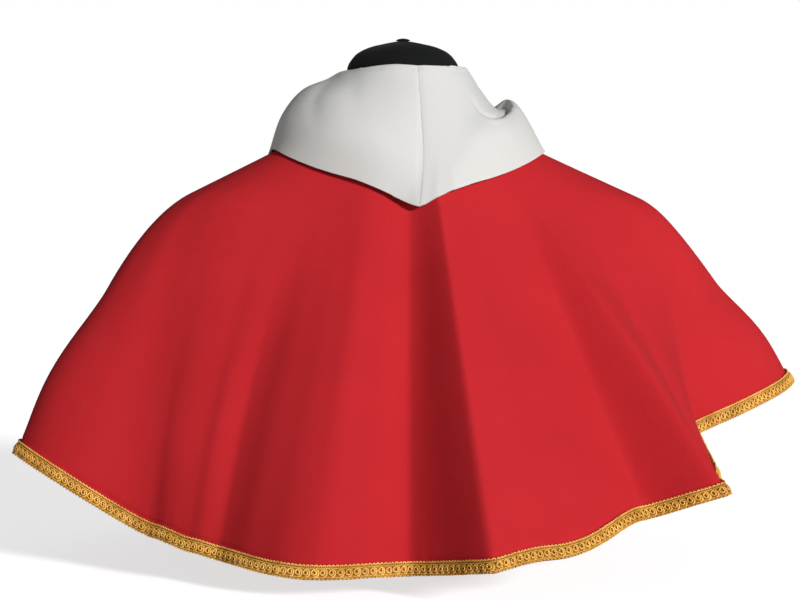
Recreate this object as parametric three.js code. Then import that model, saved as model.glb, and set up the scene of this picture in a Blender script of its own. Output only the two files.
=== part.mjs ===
// An altar server's shoulder cape with a pointed hood collar, worn by a countertop bust form.
// Millimetres, +Z up. The origin is the centre of the form's flat underside. The wearer faces +Y,
// so the back of the cape faces -Y and the wearer's right side is at +X.
// Angles around the body are in degrees from the centre back (-Y), positive towards +X.
import * as THREE from "three";

// Driving dimensions of the cape.
const CLOTH = 2; // wall of the red cloth with its turned hem
const SEAM_GAP = 0.3; // between pieces that are sewn to each other
const SHOULDER_SEAM = 104; // where the back meets each front, in degrees
const CAPE_STEP = 4; // degrees between two sections of the cape
const NECK = { side: 67, deep: 64, back: 440, beside: 435, front: 398 };
const SHOULDER = { side: 268, deep: 92, shift: 15, back: 385, beside: 342, front: 372, tilt: -0.008 };
const SHOULDER_ROUND = { above: 46, below: 84 }; // reach of the shoulder's curve along the cloth
const SHOULDER_SPREAD = 7.5; // degrees by which the lines of the cloth spread at the shoulder

// Folds of the skirt: the angle, how far out and how low the hem hangs there, how sharply it is
// creased from 0 (rolled) to 1 (pressed), by how many degrees it leans at the shoulder, how far its
// middle bulges out and sways round, and how far it already stands out at the shoulder.
const FOLDS = [
  { name: "left front edge", at: -180, out: 312, low: 24, crisp: 0, lean: 0, bulge: 0, sway: 0, yoke: 0 },
  { name: "left front roll", at: -168, out: 326, low: 30, crisp: 0, lean: 0, bulge: 0, sway: 0, yoke: 0 },
  { name: "left front hollow", at: -152, out: 298, low: 30, crisp: 0, lean: 0, bulge: 0, sway: 0, yoke: 0 },
  { name: "left chest roll", at: -135, out: 352, low: 62, crisp: 0.2, lean: 0, bulge: 0, sway: 0, yoke: 0 },
  { name: "left chest hollow", at: -118, out: 320, low: 84, crisp: 0, lean: 0, bulge: 0, sway: 0, yoke: 0 },
  { name: "left flare", at: -86, out: 388, low: 114, crisp: 0.2, lean: -3, bulge: 10, sway: 0, yoke: 0 },
  { name: "left side hollow", at: -63, out: 286, low: 43, crisp: 0, lean: -6, bulge: 6, sway: 0, yoke: 0 },
  { name: "left side roll", at: -53, out: 283, low: 34, crisp: 0, lean: -4, bulge: 4, sway: -6, yoke: 0 },
  { name: "left crease", at: -45.5, out: 271, low: 27, crisp: 0.6, lean: -2, bulge: 0, sway: -12, yoke: 0 },
  { name: "left back roll", at: -27, out: 300, low: 22, crisp: 0, lean: 0, bulge: 0, sway: 0, yoke: 0 },
  { name: "back hollow", at: -9, out: 268, low: 22, crisp: 0.2, lean: 5, bulge: 0, sway: 0, yoke: -6 },
  { name: "back crease", at: 3, out: 350, low: 36, crisp: 1, lean: 4, bulge: 0, sway: 0, yoke: 7 },
  { name: "right back roll", at: 14, out: 333, low: 43, crisp: 0, lean: 1, bulge: 0, sway: 0, yoke: 2 },
  { name: "right back hollow", at: 37, out: 306, low: 65, crisp: 0, lean: 0, bulge: 0, sway: 0, yoke: 0 },
  { name: "right back edge", at: 43.5, out: 372, low: 89, crisp: 0.5, lean: 0, bulge: 4, sway: 0, yoke: 0 },
  { name: "right side roll", at: 55.5, out: 330, low: 85, crisp: 0.2, lean: 0, bulge: 4, sway: 0, yoke: 0 },
  { name: "right side hollow", at: 74, out: 290, low: 124, crisp: 0, lean: 0, bulge: 0, sway: 0, yoke: 0 },
  { name: "right flare", at: 99, out: 433, low: 167, crisp: 0.2, lean: 0, bulge: 10, sway: 0, yoke: 0 },
  { name: "right chest hollow", at: 119, out: 346, low: 84, crisp: 0, lean: 0, bulge: 0, sway: 0, yoke: 0 },
  { name: "right chest roll", at: 137, out: 356, low: 64, crisp: 0.2, lean: 0, bulge: 0, sway: 0, yoke: 0 },
  { name: "right front hollow", at: 154, out: 300, low: 30, crisp: 0, lean: 0, bulge: 0, sway: 0, yoke: 0 },
  { name: "right front roll", at: 169, out: 328, low: 30, crisp: 0, lean: 0, bulge: 0, sway: 0, yoke: 0 },
  { name: "right front edge", at: 180, out: 312, low: 24, crisp: 0, lean: 0, bulge: 0, sway: 0, yoke: 0 },
];
// How far along the cloth the rows of points lie: on the neck slope and the skirt as shares.
const SLOPE_ROWS = [0, 0.5];
const ROUND_ROWS = [0, 0.33, 0.67, 1];
const SKIRT_ROWS = [0.25, 0.5, 0.75];

// The braid: how far its band hangs below the hem, its gap to the cloth, and its domed section as
// shares of its height and thickness.
const BRAID = { wide: 15, thick: 3, below: 1.2, gap: 0.3 };
const BRAID_DOME = [[1, 0.6], [0.8, 1], [0.2, 1], [0, 0.6]];

// The hood: its cloth stands up from the neck seam, rolls over and falls onto the cape. Each row
// gives the angle from the centre back, the height of the roll, three points down the fall as how
// far out and how high, and how far down the cape's cloth the edge lies.
const STAND = { out: 61, roll: 64.5, turn: 5 };
const HOOD_EDGE_RISE = 4.5; // how far the hood's edge stands off the cape
const TIP_RISE = 4.7; // how much more it does at its point
const HOOD_TURN = 3.1; // degrees by which its centre back has slid round to the right
const HOOD_TWIST = -7.6; // degrees by which the line it lies on turns back to the left
const BRIDGE = [-7, 0, 7]; // degrees of cape that its edge lies across
const HOOD_STEP = 6;
const HOOD_SEAM_GAP = 0.6; // wide enough that its walls, which lean together, stay apart
const HOOD_RIGHT = [
  { at: 0, roll: 489, out1: 72, up1: 473, out2: 84, up2: 443, out3: 99, up3: 400, reach: 103.5 },
  { at: 15, roll: 489, out1: 72, up1: 473, out2: 85, up2: 444, out3: 102, up3: 405, reach: 90 },
  { at: 30, roll: 489, out1: 72, up1: 473, out2: 86, up2: 446, out3: 105, up3: 417, reach: 82 },
  { at: 60, roll: 488, out1: 76, up1: 467, out2: 93, up2: 446, out3: 113, up3: 434, reach: 80 },
  { at: 96, roll: 482, out1: 79, up1: 465, out2: 96, up2: 448, out3: 110, up3: 458, reach: 82 },
  { at: 122, roll: 468, out1: 81, up1: 459, out2: 98, up2: 448, out3: 113, up3: 430, reach: 86 },
  { at: 150, roll: 436, out1: 76, up1: 429, out2: 92, up2: 415, out3: 108, up3: 393, reach: 96 },
  { at: 180, roll: 420, out1: 74, up1: 414, out2: 87, up2: 401, out3: 104, up3: 377, reach: 104 },
];
const HOOD_LEFT = [
  { at: 0, roll: 489, out1: 72, up1: 473, out2: 84, up2: 443, out3: 99, up3: 400, reach: 103.5 },
  { at: 15, roll: 489, out1: 72, up1: 474, out2: 87, up2: 446, out3: 103, up3: 405, reach: 87 },
  { at: 30, roll: 489, out1: 73, up1: 475, out2: 90, up2: 450, out3: 107, up3: 418, reach: 78 },
  { at: 60, roll: 487, out1: 78, up1: 475, out2: 100, up2: 459, out3: 119, up3: 430, reach: 76 },
  { at: 88, roll: 483, out1: 79, up1: 476, out2: 102, up2: 466, out3: 122, up3: 442, reach: 72 },
  { at: 115, roll: 472, out1: 80, up1: 463, out2: 98, up2: 449, out3: 113, up3: 425, reach: 84 },
  { at: 150, roll: 436, out1: 76, up1: 429, out2: 92, up2: 415, out3: 108, up3: 393, reach: 96 },
  { at: 180, roll: 420, out1: 74, up1: 414, out2: 87, up2: 401, out3: 104, up3: 377, reach: 104 },
];
const HOOD_ROWS = [0, 0.9, 1.4, 2, 2.5, 3, 3.5, 4, 4.5, 5, 5.5, 6]; // in segments of its profile

// The bust form: half width, half depth, how far to the right and forward its middle lies, and how
// square it is.
const FORM = [
  { up: 12.3, wide: 114, deep: 85, aside: 0, forward: 0, square: 2 },
  { up: 20, wide: 120, deep: 90, aside: 0, forward: 0, square: 2 },
  { up: 60, wide: 126, deep: 93, aside: 0, forward: 0, square: 2.1 },
  { up: 130, wide: 146, deep: 106, aside: 0, forward: 4, square: 2.2 },
  { up: 195, wide: 170, deep: 118, aside: 0, forward: 8, square: 2.3 },
  { up: 260, wide: 196, deep: 112, aside: 0, forward: 6, square: 2.3 },
  { up: 305, wide: 222, deep: 94, aside: 0, forward: 2, square: 2.1 },
  { up: 332, wide: 224, deep: 79, aside: 2, forward: 0, square: 2 },
  { up: 350, wide: 211, deep: 69, aside: 4, forward: 0, square: 1.9 },
  { up: 368, wide: 189, deep: 61, aside: 5, forward: 0, square: 1.8 },
  { up: 386, wide: 166.3, deep: 56, aside: 4.6, forward: 0, square: 1.6 },
  { up: 398, wide: 141.6, deep: 54.5, aside: 4.2, forward: 0, square: 1.3 },
  { up: 410, wide: 99, deep: 54.5, aside: 2, forward: 0, square: 1.2 },
  { up: 420, wide: 66, deep: 55, aside: 0, forward: 0, square: 1.7 },
  { up: 431, wide: 57, deep: 55, aside: 0, forward: 0, square: 2 },
  { up: 450, wide: 55.5, deep: 55, aside: 0, forward: 0, square: 2 },
  { up: 488, wide: 55.5, deep: 55, aside: 0, forward: 0, square: 2 },
  { up: 497, wide: 50.8, deep: 50, aside: 0, forward: 0, square: 2 },
  { up: 503, wide: 44.8, deep: 44, aside: 0, forward: 0, square: 2 },
  { up: 508.5, wide: 33.5, deep: 33, aside: 0, forward: 0, square: 2 },
  { up: 512, wide: 19.5, deep: 19.5, aside: 0, forward: 0, square: 2 },
  { up: 514.2, wide: 8.5, deep: 8.5, aside: 0, forward: 0, square: 2 },
];
const FORM_SIDES = 36;
const NUB = { radius: 7, high: 3, round: 1.4 };
const BASE = { radius: 122, high: 12, round: 2, squash: 0.76 };
const SEAT_GAP = 0.3; // between the form's pieces, which sit face to face

const rad = THREE.MathUtils.degToRad;
const V = (x, y, z) => new THREE.Vector3(x, y, z);
const mix = (a, b, t) => a.clone().lerp(b, t);
const around = (angle, out, up) => V(out * Math.sin(rad(angle)), -out * Math.cos(rad(angle)), up);

// A height that passes through its back, side and front values as the angle goes round.
function round3({ back, beside, front }, angle) {
  const level = ((back + front) / 2 + beside) / 2;
  return level + ((back - front) / 2) * Math.cos(rad(angle))
    + ((back + front) / 2 - level) * Math.cos(rad(2 * angle));
}

// The value of one column of FOLDS at an angle: a slack curve between two rows, pressed at a crease.
const CREASE_SLOPE = 1.4; // how steeply a pressed crease starts, against an even slope
function folded(column, angle) {
  const i = Math.max(1, FOLDS.findIndex((row) => row.at >= Math.min(angle, 180)));
  const [a, b] = [FOLDS[i - 1], FOLDS[i]];
  const t = (angle - a.at) / (b.at - a.at), rise = b[column] - a[column];
  const out = CREASE_SLOPE * a.crisp * rise, into = CREASE_SLOPE * b.crisp * rise;
  return a[column] + rise * t * t * (3 - 2 * t)
    + out * t * (1 - t) ** 2 - into * t * t * (1 - t);
}

const neckPoint = (angle) => V(
  NECK.side * Math.sin(rad(angle)),
  -NECK.deep * Math.cos(rad(angle)),
  round3(NECK, angle));

function shoulderPoint(angle) {
  const turn = angle + SHOULDER_SPREAD * Math.sin(rad(2 * angle)) + folded("lean", angle);
  const x = Math.sin(rad(turn)), y = -Math.cos(rad(turn));
  const reach = 1 / Math.hypot(x / SHOULDER.side, y / SHOULDER.deep) + folded("yoke", angle);
  const side = reach * x + SHOULDER.shift * x * x;
  return V(side, reach * y, round3(SHOULDER, turn) + SHOULDER.tilt * side);
}

// One line of the cape's cloth from the neck seam over the shoulder to the hem. The skirt's middle
// is moved by the fold's bulge and sway, which die away towards both of its ends.
const SLOPE_SHARE = 0.6; // the most of the neck slope that the shoulder's curve may take
function capeLine(angle) {
  const neck = neckPoint(angle), shoulder = shoulderPoint(angle);
  const hem = around(angle, folded("out", angle), folded("low", angle));
  const slope = shoulder.distanceTo(neck), skirt = hem.distanceTo(shoulder);
  const from = mix(shoulder, neck, Math.min(SHOULDER_ROUND.above / slope, SLOPE_SHARE));
  const to = mix(shoulder, hem, Math.min(SHOULDER_ROUND.below, slope * SLOPE_SHARE) / skirt);
  const bend = new THREE.QuadraticBezierCurve3(from, shoulder, to);
  const moved = around(angle, folded("bulge", angle), 0).add(around(angle + 90, folded("sway", angle), 0));
  const braidTop = 1 - BRAID.wide / hem.distanceTo(to);
  return [
    ...SLOPE_ROWS.map((t) => mix(neck, from, t)),
    ...ROUND_ROWS.map((t) => bend.getPoint(t)),
    ...[...SKIRT_ROWS, braidTop, 1].map((t) =>
      mix(to, hem, t).addScaledVector(moved, (4 * t * (1 - t)) ** 2)),
  ];
}

// The outer side of a cloth's line at an angle: one normal for each of its points.
const TINY = 0.05; // degrees
function normals(lineAt, angle) {
  const line = lineAt(angle), before = lineAt(angle - TINY), after = lineAt(angle + TINY);
  return line.map((p, i) => {
    const round = after[i].clone().sub(before[i]);
    const down = line[Math.min(i + 1, line.length - 1)].clone().sub(line[Math.max(i - 1, 0)]);
    return down.cross(round).normalize();
  });
}

// One section of a cloth wall: its outer points, and its inner points one wall further in. A
// section at a seam is pushed back from it along the cloth by half the gap.
function section(lineAt, angle, push = 0) {
  const line = lineAt(angle), out = normals(lineAt, angle);
  const across = lineAt(angle + TINY)[0].sub(lineAt(angle - TINY)[0]).setZ(0).normalize();
  const outer = line.map((p) => p.clone().addScaledVector(across, push));
  return { outer, inner: outer.map((p, i) => p.clone().addScaledVector(out[i], -CLOTH)) };
}

// A skin over sections that each hold the same number of points in a loop. From one point of the
// loop on, its faces are split along the other diagonal.
function skin(loops, turned = Infinity) {
  const n = loops[0].length, points = loops.flat(), faces = [];
  for (let i = 0; i + 1 < loops.length; i++)
    for (let j = 0; j < n; j++) {
      const a = i * n + j, b = i * n + (j + 1) % n, c = a + n, d = b + n;
      faces.push(...(j < turned ? [a, b, d, a, d, c] : [a, b, c, b, d, c]));
    }
  return { points, faces, n, last: (loops.length - 1) * n };
}

function meshOf({ points, faces }) {
  const g = new THREE.BufferGeometry();
  g.setAttribute("position", new THREE.Float32BufferAttribute(points.flatMap((p) => [p.x, p.y, p.z]), 3));
  g.setIndex(faces);
  g.computeVertexNormals();
  return g;
}

// A cloth wall: sections of outer and inner points, closed at both ends by strips. Both sides are
// split along the same diagonals, so the wall is as thick everywhere.
function wall(sections) {
  const half = sections[0].outer.length;
  const s = skin(sections.map(({ outer, inner }) => [...outer, ...[...inner].reverse()]), half);
  for (let j = 0; j + 1 < half; j++) {
    const k = s.n - 1 - j;
    s.faces.push(j, k, j + 1, j + 1, k, k - 1);
    s.faces.push(s.last + j, s.last + j + 1, s.last + k, s.last + j + 1, s.last + k - 1, s.last + k);
  }
  return meshOf(s);
}

const spread = (from, to, step) => {
  const count = Math.max(1, Math.round(Math.abs(to - from) / step));
  return Array.from({ length: count + 1 }, (_, i) => from + (to - from) * i / count);
};

// Angles of a panel's sections: evenly spread, and one on each fold line.
function panelAngles(from, to) {
  const stops = [from, ...FOLDS.map((f) => f.at).filter((a) => a > from && a < to), to];
  return stops.flatMap((a, i) => i ? spread(stops[i - 1], a, CAPE_STEP).slice(1) : [a]);
}

// The sections of a piece that is sewn to its neighbours along its first and last section.
const sewn = (lineAt, angles, gap = SEAM_GAP) => angles.map((a, i) =>
  section(lineAt, a, ((i === 0) - (i === angles.length - 1)) * gap / 2));

// The point that lies a distance along a line of points.
function along(line, distance) {
  let i = 1;
  while (i < line.length - 1 && distance > line[i].distanceTo(line[i - 1]))
    distance -= line[i].distanceTo(line[i++ - 1]);
  return mix(line[i - 1], line[i], distance / line[i].distanceTo(line[i - 1]));
}

// The braid is a domed band on the panel's own hem points, moved out.
function braidSections(from, to) {
  return panelAngles(from, to).map((a, i, all) => {
    const push = ((i === 0) - (i === all.length - 1)) * SEAM_GAP / 2;
    const { outer } = section(capeLine, a, push);
    const normal = normals(capeLine, a).at(-1), hem = outer.at(-1);
    const up = outer.at(-2).clone().sub(hem).normalize();
    const at = (share, out) => hem.clone().addScaledVector(up, share * BRAID.wide - BRAID.below)
      .addScaledVector(normal, BRAID.gap + out * BRAID.thick);
    return {
      outer: BRAID_DOME.map(([share, out]) => at(share, out)),
      inner: BRAID_DOME.map(([share]) => at(share, 0)),
    };
  });
}

// One line of the hood's cloth from the neck seam up the stand, over the roll and down the fall.
function hoodLine(rows, side) {
  const columns = Object.keys(rows[0]).filter((c) => c !== "at");
  const value = (column, at) => {
    const i = Math.max(1, rows.findIndex((r) => r.at >= Math.min(at, 180)));
    const [a, b] = [rows[i - 1], rows[i]], span = b.at - a.at, t = (at - a.at) / span;
    const slope = (j) => {
      const [p, n] = [rows[Math.max(j - 1, 0)], rows[Math.min(j + 1, rows.length - 1)]];
      return (n[column] - p[column]) / (n.at - p.at);
    };
    const [m, n] = [slope(i - 1) * span, slope(i) * span];
    return a[column] * (1 + 2 * t) * (1 - t) ** 2 + m * t * (1 - t) ** 2
      + b[column] * t * t * (3 - 2 * t) - n * t * t * (1 - t);
  };
  return (angle) => {
    const row = Object.fromEntries(columns.map((c) => [c, value(c, side * angle)]));
    const place = (share) => angle
      + (HOOD_TURN + share * HOOD_TWIST) * Math.cos(rad(angle / 2)) ** 2;
    const rise = HOOD_EDGE_RISE + TIP_RISE * Math.cos(rad(angle / 2)) ** 16;
    const rests = BRIDGE.reduce((sum, b) => sum
      .add(along(capeLine(place(1) + b), row.reach))
      .addScaledVector(normals(capeLine, place(1) + b)[3], rise), V(0, 0, 0))
      .divideScalar(BRIDGE.length);
    const path = new THREE.CatmullRomCurve3([
      around(place(0), STAND.out, neckPoint(place(0)).z + SEAM_GAP),
      around(place(0), STAND.out, row.roll - STAND.turn),
      around(place(0), STAND.roll, row.roll),
      around(place(0.06), row.out1, row.up1),
      around(place(0.13), row.out2, row.up2),
      around(place(0.22), row.out3, row.up3),
      rests,
    ], false, "centripetal");
    return HOOD_ROWS.map((u) => path.getPoint(u / 6));
  };
}

// The form's sections, from the bottom up, each a loop seen anticlockwise from above.
function formLoop({ up, wide, deep, aside, forward, square }) {
  return Array.from({ length: FORM_SIDES }, (_, i) => {
    const c = Math.cos(i * 2 * Math.PI / FORM_SIDES), s = Math.sin(i * 2 * Math.PI / FORM_SIDES);
    const size = 1 / (Math.abs(c) ** square + Math.abs(s) ** square) ** (1 / square);
    return V(aside + wide * size * c, forward + deep * size * s, up);
  });
}

function loft(rows) {
  const s = skin(rows.map(formLoop));
  for (const [first, up, flip] of [[0, rows[0].up, 1], [s.last, rows.at(-1).up, 0]]) {
    const middle = s.points.push(V(0, rows[flip ? 0 : rows.length - 1].forward, up)) - 1;
    for (let j = 0; j < s.n; j++) {
      const a = first + j, b = first + (j + 1) % s.n;
      s.faces.push(middle, flip ? b : a, flip ? a : b);
    }
  }
  return meshOf(s);
}

// A disc with rounded rims that stands on the origin.
function disc({ radius, high, round }) {
  const profile = new THREE.Path()
    .moveTo(0, 0)
    .lineTo(radius - round, 0)
    .absarc(radius - round, round, round, -Math.PI / 2, 0, false)
    .absarc(radius - round, high - round, round, 0, Math.PI / 2, false)
    .lineTo(0, high);
  return new THREE.LatheGeometry(profile.getPoints(3), 48).rotateX(Math.PI / 2);
}

const object = new THREE.Group();
const materials = {
  red: new THREE.MeshStandardMaterial({ color: 0xc4202a, roughness: 0.8 }),
  grey: new THREE.MeshStandardMaterial({ color: 0xdedcd6, roughness: 0.7 }),
  gold: new THREE.MeshStandardMaterial({ color: 0xc8932f, roughness: 0.5 }),
  black: new THREE.MeshStandardMaterial({ color: 0x15151a, roughness: 0.9 }),
};
function add(name, geometry, material) {
  const mesh = new THREE.Mesh(geometry, material);
  mesh.name = name;
  object.add(mesh);
}

const pieces = {
  back: [-SHOULDER_SEAM, SHOULDER_SEAM],
  front_right: [SHOULDER_SEAM, 180],
  front_left: [-180, -SHOULDER_SEAM],
};
for (const [name, [from, to]] of Object.entries(pieces)) {
  add("cape_" + name, wall(sewn(capeLine, panelAngles(from, to))), materials.red);
  add("braid_" + name, wall(braidSections(from, to)), materials.gold);
}
add("hood_right", wall(sewn(hoodLine(HOOD_RIGHT, 1), spread(0, 180, HOOD_STEP), HOOD_SEAM_GAP)), materials.grey);
add("hood_left", wall(sewn(hoodLine(HOOD_LEFT, -1), spread(-180, 0, HOOD_STEP), HOOD_SEAM_GAP)), materials.grey);
add("form_torso", loft(FORM), materials.black);
add("form_nub", disc(NUB).translate(0, 0, FORM.at(-1).up + SEAT_GAP), materials.black);
add("form_base", disc(BASE).scale(1, BASE.squash, 1), materials.black);

export default object;
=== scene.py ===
# %% [markdown]
# # An altar server's shoulder cape on a bust form
# The cape is red twill that flares in soft, cone-shaped folds. A pale hood collar stands up from the
# neck seam, rolls over and falls to a point at the back, and a gold gimp braid runs round the hem.
# A black bust form wears it. Every piece is laid out from tables of its cut and fall, close to the
# solid that it stands for.

# %% Load the frame
import math

import bmesh
import bpy
import numpy as np
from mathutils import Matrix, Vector


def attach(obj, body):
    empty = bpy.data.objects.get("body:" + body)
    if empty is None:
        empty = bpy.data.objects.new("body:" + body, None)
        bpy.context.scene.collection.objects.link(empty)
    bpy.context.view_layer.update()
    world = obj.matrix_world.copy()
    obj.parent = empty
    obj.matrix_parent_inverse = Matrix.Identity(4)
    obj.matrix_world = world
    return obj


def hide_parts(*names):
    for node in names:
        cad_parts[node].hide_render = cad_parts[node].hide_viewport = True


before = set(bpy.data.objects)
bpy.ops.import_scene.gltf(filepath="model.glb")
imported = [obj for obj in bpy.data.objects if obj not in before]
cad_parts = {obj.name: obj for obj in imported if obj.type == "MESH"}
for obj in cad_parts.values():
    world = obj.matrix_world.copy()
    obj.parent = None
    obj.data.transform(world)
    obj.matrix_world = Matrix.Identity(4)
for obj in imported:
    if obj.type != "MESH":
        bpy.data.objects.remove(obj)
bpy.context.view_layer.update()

# %% [markdown]
# ## The fall of the cape
# A circular cape hangs in straight lines from the shoulder to the hem. A table says where each fold
# lies at the hem, how far out and how low the cloth hangs there, and how sharply it is creased. Every
# line of the cloth can then be worked out from its angle round the neck. Cloth simulation could find
# a fall of its own, but it couldn't be told to make these folds, so they are listed one by one.

# %% The cape's tables, in metres and degrees from the centre back
NECK = {"side": 0.067, "deep": 0.064, "back": 0.440, "beside": 0.435, "front": 0.398}
SHOULDER = {"side": 0.268, "deep": 0.092, "shift": 0.015, "back": 0.385, "beside": 0.342,
            "front": 0.372, "tilt": -0.008, "above": 0.046, "below": 0.084, "spread": 7.5}
SLOPE_SHARE = 0.6
CREASE_SLOPE = 1.4
SHOULDER_SEAM = 104.0
SEAM_GAP = 0.0003
CLOTH = 0.0021

# angle, out, low, crisp, lean, bulge, sway, yoke
FOLDS = np.array([
    (-180, 0.312, 0.024, 0.0, 0, 0.000, 0.000, 0.000),
    (-168, 0.326, 0.030, 0.0, 0, 0.000, 0.000, 0.000),
    (-152, 0.298, 0.030, 0.0, 0, 0.000, 0.000, 0.000),
    (-135, 0.352, 0.062, 0.2, 0, 0.000, 0.000, 0.000),
    (-118, 0.320, 0.084, 0.0, 0, 0.000, 0.000, 0.000),
    (-86, 0.388, 0.114, 0.2, -3, 0.010, 0.000, 0.000),
    (-63, 0.291, 0.043, 0.0, -6, 0.006, 0.000, 0.000),
    (-54, 0.283, 0.034, 0.0, -4, 0.004, -0.003, 0.000),
    (-48.5, 0.277, 0.029, 0.5, -2, 0.000, -0.005, 0.000),
    (-27, 0.300, 0.022, 0.0, 0, 0.000, 0.000, 0.000),
    (-9, 0.268, 0.022, 0.2, 5, 0.000, 0.000, -0.006),
    (3.0, 0.350, 0.036, 1.0, 4, 0.000, 0.000, 0.007),
    (14, 0.333, 0.043, 0.0, 1, 0.000, 0.000, 0.002),
    (37, 0.306, 0.065, 0.0, 0, 0.000, 0.000, 0.000),
    (43.5, 0.372, 0.089, 0.5, 0, 0.004, 0.000, 0.000),
    (55.5, 0.330, 0.085, 0.2, 0, 0.004, 0.000, 0.000),
    (74, 0.290, 0.124, 0.0, 0, 0.000, 0.000, 0.000),
    (99, 0.433, 0.167, 0.2, 0, 0.010, 0.000, 0.000),
    (119, 0.346, 0.084, 0.0, 0, 0.000, 0.000, 0.000),
    (137, 0.356, 0.064, 0.2, 0, 0.000, 0.000, 0.000),
    (154, 0.300, 0.030, 0.0, 0, 0.000, 0.000, 0.000),
    (169, 0.328, 0.030, 0.0, 0, 0.000, 0.000, 0.000),
    (180, 0.312, 0.024, 0.0, 0, 0.000, 0.000, 0.000),
])
COLUMN = {"out": 1, "low": 2, "lean": 4, "bulge": 5, "sway": 6, "yoke": 7}
CRISP = 3
FOLD_ROUND = 0.7  # degrees over which even a pressed crease bends


# %% The lines of the cape's cloth
def level(table, angles):
    """A height that passes through the table's back, side and front values round the neck."""
    middle = ((table["back"] + table["front"]) / 2 + table["beside"]) / 2
    turn = np.radians(angles)
    return (middle + (table["back"] - table["front"]) / 2 * np.cos(turn)
            + ((table["back"] + table["front"]) / 2 - middle) * np.cos(2 * turn))


def folded(column, angles):
    """One column of the fold table at each angle: slack between two rows, pressed at a crease."""
    def sharp(angles):
        row = np.clip(np.searchsorted(FOLDS[:, 0], angles, side="left"), 1, len(FOLDS) - 1)
        before, after = FOLDS[row - 1], FOLDS[row]
        t = (angles - before[:, 0]) / (after[:, 0] - before[:, 0])
        start, end = before[:, COLUMN[column]], after[:, COLUMN[column]]
        rise = end - start
        return (start + rise * t * t * (3 - 2 * t)
                + CREASE_SLOPE * before[:, CRISP] * rise * t * (1 - t) ** 2
                - CREASE_SLOPE * after[:, CRISP] * rise * t * t * (1 - t))

    shifts = np.linspace(-FOLD_ROUND, FOLD_ROUND, 7)
    wrapped = [(angles + s + 180) % 360 - 180 for s in shifts]
    return sum(sharp(w) for w in wrapped) / len(shifts)


def around(angles, out, up):
    turn = np.radians(angles)
    return np.stack(np.broadcast_arrays(out * np.sin(turn), -out * np.cos(turn), up), axis=-1)


def neck_points(angles):
    turn = np.radians(angles)
    return np.stack([NECK["side"] * np.sin(turn), -NECK["deep"] * np.cos(turn),
                     level(NECK, angles)], axis=-1)


def shoulder_points(angles):
    turned = angles + SHOULDER["spread"] * np.sin(np.radians(2 * angles)) + folded("lean", angles)
    x, y = np.sin(np.radians(turned)), -np.cos(np.radians(turned))
    reach = 1 / np.hypot(x / SHOULDER["side"], y / SHOULDER["deep"]) + folded("yoke", angles)
    side = reach * x + SHOULDER["shift"] * x * x
    return np.stack([side, reach * y, level(SHOULDER, turned) + SHOULDER["tilt"] * side], axis=-1)


SLOPE_ROWS = np.linspace(0, 1, 9)[:-1]
ROUND_ROWS = np.linspace(0, 1, 19)
SKIRT_ROWS = np.concatenate([np.linspace(0, 0.92, 37)[1:], np.linspace(0.92, 1, 19)[1:]])


def cape_lines(angles):
    """Points of the cape's cloth: for each angle, a line from the neck seam to the hem."""
    neck, shoulder = neck_points(angles), shoulder_points(angles)
    hem = around(angles, folded("out", angles), folded("low", angles))
    slope = np.linalg.norm(shoulder - neck, axis=1)
    skirt = np.linalg.norm(hem - shoulder, axis=1)
    up_share = np.minimum(SHOULDER["above"] / slope, SLOPE_SHARE)[:, None]
    down_share = (np.minimum(SHOULDER["below"], slope * SLOPE_SHARE) / skirt)[:, None]
    start, end = shoulder + (neck - shoulder) * up_share, shoulder + (hem - shoulder) * down_share
    moved = around(angles, folded("bulge", angles), 0) + around(angles + 90, folded("sway", angles), 0)
    rows = [neck + (start - neck) * t for t in SLOPE_ROWS]
    rows += [start * (1 - t) ** 2 + shoulder * 2 * t * (1 - t) + end * t * t for t in ROUND_ROWS]
    rows += [end + (hem - end) * t + moved * (4 * t * (1 - t)) ** 2 for t in SKIRT_ROWS]
    return np.stack(rows, axis=1)


def fall_of(points):
    """How far each point lies down its line of cloth from the first one."""
    steps = np.linalg.norm(np.diff(points, axis=1), axis=2)
    return np.concatenate([np.zeros((len(points), 1)), np.cumsum(steps, axis=1)], axis=1)


every = np.arange(-180.0, 180.0, 1.0)
lengths = fall_of(cape_lines(every))[:, -1]
print(f"cape: {lengths.min():.3f} to {lengths.max():.3f} m from neck seam to hem")

# %% [markdown]
# ## Small unevenness
# Cloth that has been sewn and worn is never as smooth as its cut. Above the braid the seam draws it
# into short puckers, the braid's upper edge presses a groove into it, and long faint waves run down
# the skirt. Each is a sum of sines that never line up, so the pattern looks irregular and is the
# same on every run.

# %% Puckers, groove and waves
PUCKER = {"deep": 0.00075, "long": 0.017}
GROOVE = {"deep": 0.0009, "at": 0.0152, "wide": 0.0016}
WAVE = {"deep": 0.0007, "from": 0.10, "full": 0.24}
# times round the neck, start, share
PUCKER_SINES = ((151, 0.0, 1.0), (97, 1.3, 1.0), (211, 0.4, 0.8))


def normals_of(points):
    """The outer side of a grid of points whose columns run down and whose rows run round."""
    normal = np.cross(np.gradient(points, axis=1), np.gradient(points, axis=0))
    return normal / np.linalg.norm(normal, axis=2)[..., None]


def uneven(angles, points):
    fall = fall_of(points)
    above = fall[:, -1:] - fall
    turn = np.radians(angles)[:, None]
    short = sum(share * np.sin(turn * times + start) for times, start, share in PUCKER_SINES)
    short /= sum(share for *_, share in PUCKER_SINES)
    patchy = 0.55 + 0.45 * np.sin(turn * 13 + 0.7) * np.sin(turn * 7.3)
    slow = (np.sin(turn * 29 + 9 * fall) + np.sin(turn * 17 - 6 * fall + 2.1) + np.sin(turn * 43 + 0.9)) / 3
    rise = PUCKER["deep"] * short * patchy * np.exp(-above / PUCKER["long"])
    rise -= GROOVE["deep"] * np.exp(-((above - GROOVE["at"]) / GROOVE["wide"]) ** 2)
    rise += WAVE["deep"] * slow * np.clip((fall - WAVE["from"]) / (WAVE["full"] - WAVE["from"]), 0, 1)
    return points + normals_of(points) * rise[..., None]


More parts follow.
